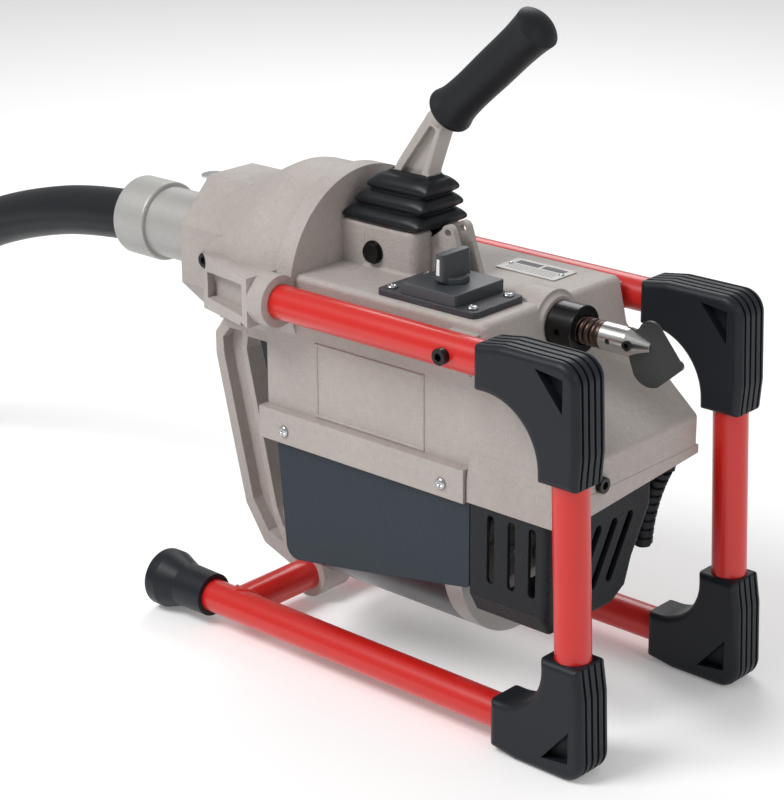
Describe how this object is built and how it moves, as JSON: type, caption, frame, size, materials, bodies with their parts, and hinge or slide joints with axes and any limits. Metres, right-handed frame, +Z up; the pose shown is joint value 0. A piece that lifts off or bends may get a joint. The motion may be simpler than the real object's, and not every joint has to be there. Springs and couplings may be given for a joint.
{
  "type": "drain cleaning machine",
  "caption": "Portable powered drain snake with a tubular carrying frame, hand lever clutch, hollow spindle, guide hose and spade cutter.",
  "frame": {"origin": "on the floor, under the middle of the machine without its guide hose", "axes": "+X forward to the cutter, +Y to the machine's left, +Z up"},
  "size_m": [1.1471, 0.6836, 0.5412],
  "materials": {
    "frame_paint": "satin red paint",
    "bumper_rubber": "soft sheen",
    "casting_paint": "lightly textured warm grey paint",
    "raw_casting": "raw cast",
    "cover_plastic": "leather grain",
    "motor_steel": "black enamel",
    "core_steel": "laminated",
    "bright_steel": "turned",
    "bearing_steel": "ground",
    "plated_steel": "zinc plated",
    "dark_steel": "blued",
    "coil_steel": "oiled spring wire",
    "lever_paint": "grey paint",
    "grip_rubber": "matt",
    "boot_rubber": "moulded",
    "belt_rubber": "ribbed",
    "hose_rubber": "smooth hose",
    "switch_plastic": "speckled",
    "knob_plastic": "semi gloss",
    "plate_metal": "printed",
    "carbon": "carbon"
  },
  "bodies": {
    "machine": {"belt_guard": "cover_plastic", "cable_gland": "plated_steel", "cover_screws": "plated_steel", "cross_tube": "frame_paint", "deck_screws": "plated_steel", "drive_belt": "belt_rubber", "frame_screws": "plated_steel", "front_motor_cover": "cover_plastic", "gland_bend_relief": "boot_rubber", "guide_hose": "hose_rubber", "hose_adapter": "raw_casting", "latch_body": "plated_steel", "latch_spring": "dark_steel", "left_foot_cap": "bumper_rubber", "left_side_cover": "cover_plastic", "left_side_tube": "frame_paint", "lever_boot": "boot_rubber", "lever_pins": "plated_steel", "lever_return_springs": "dark_steel", "lower_left_bumper": "bumper_rubber", "lower_right_bumper": "bumper_rubber", "main_housing": "casting_paint", "motor_bearings": "bearing_steel", "motor_bolts": "plated_steel", "motor_brushes": "carbon", "motor_can": "motor_steel", "motor_front_bell": "raw_casting", "motor_rear_bell": "raw_casting", "motor_stator": "core_steel", "nameplate": "plate_metal", "rear_housing": "casting_paint", "rear_leg": "casting_paint", "right_foot_cap": "bumper_rubber", "right_side_cover": "cover_plastic", "right_side_tube": "frame_paint", "spindle_bearings": "bearing_steel", "switch_bezel": "knob_plastic", "switch_body": "switch_plastic", "switch_plate": "switch_plastic", "upper_left_bumper": "bumper_rubber", "upper_right_bumper": "bumper_rubber"},
    "spindle": {"spindle": "bright_steel", "spindle_pulley": "dark_steel", "nose_collar": "dark_steel"},
    "cable": {"drain_cable": "coil_steel", "cutter_coupling": "bright_steel", "spade_cutter": "dark_steel", "cutter_screw": "dark_steel"},
    "jaw_1": {"clutch_jaw_1": "bright_steel"},
    "jaw_2": {"clutch_jaw_2": "bright_steel"},
    "jaw_3": {"clutch_jaw_3": "bright_steel"},
    "cone": {"clutch_cone": "bright_steel"},
    "lever": {"clutch_lever": "lever_paint", "lever_grip": "grip_rubber"},
    "rotor": {"armature": "core_steel", "motor_fan": "raw_casting", "motor_pulley": "dark_steel"},
    "knob": {"switch_knob": "knob_plastic"},
    "latch": {"latch_pin": "plated_steel"}
  },
  "joints": [
    {"name": "spindle_turn", "type": "hinge", "parent": "machine", "child": "spindle", "pos_m": [0, 0, 0.305], "axis": [1, 0, 0], "continuous": true},
    {"name": "motor_turn", "type": "hinge", "parent": "machine", "child": "rotor", "pos_m": [0, 0, 0.113], "axis": [1, 0, 0], "continuous": true},
    {"name": "lever_press", "type": "hinge", "parent": "machine", "child": "lever", "pos_m": [0.011, 0, 0.336], "axis": [0, 1, 0], "range_deg": [0, 18], "stiffness_Nm_per_rad": 8, "springref_deg": -22.92, "deforming": ["lever_boot", "lever_return_springs"]},
    {"name": "cone_slide", "type": "slide", "parent": "spindle", "child": "cone", "axis": [-1, 0, 0], "range_m": [0, 0.0057]},
    {"name": "jaw_1_grip", "type": "slide", "parent": "spindle", "child": "jaw_1", "axis": [0, 0, -1], "range_m": [0, 0.0012]},
    {"name": "jaw_2_grip", "type": "slide", "parent": "spindle", "child": "jaw_2", "axis": [0, 0.866, 0.5], "range_m": [0, 0.0012]},
    {"name": "jaw_3_grip", "type": "slide", "parent": "spindle", "child": "jaw_3", "axis": [0, -0.866, 0.5], "range_m": [0, 0.0012]},
    {"name": "cable_feed", "type": "slide", "parent": "spindle", "child": "cable", "axis": [1, 0, 0], "range_m": [0, 0.25]},
    {"name": "switch_turn", "type": "hinge", "parent": "machine", "child": "knob", "pos_m": [0.109, -0.048, 0.337], "axis": [0, 0, 1], "range_deg": [-45, 45]},
    {"name": "latch_pull", "type": "slide", "parent": "machine", "child": "latch", "axis": [0, 0, 1], "range_m": [0, 0.006], "stiffness_N_per_m": 600, "springref_m": -0.004, "deforming": ["latch_spring"]}
  ],
  "couplings": [
    {"joint": "motor_turn", "follows": "spindle_turn", "ratio": 3.289},
    {"joint": "cone_slide", "follows": "lever_press", "m_per_rad": 0.018},
    {"joint": "jaw_1_grip", "follows": "lever_press", "m_per_rad": 0.0038},
    {"joint": "jaw_2_grip", "follows": "lever_press", "m_per_rad": 0.0038},
    {"joint": "jaw_3_grip", "follows": "lever_press", "m_per_rad": 0.0038}
  ]
}
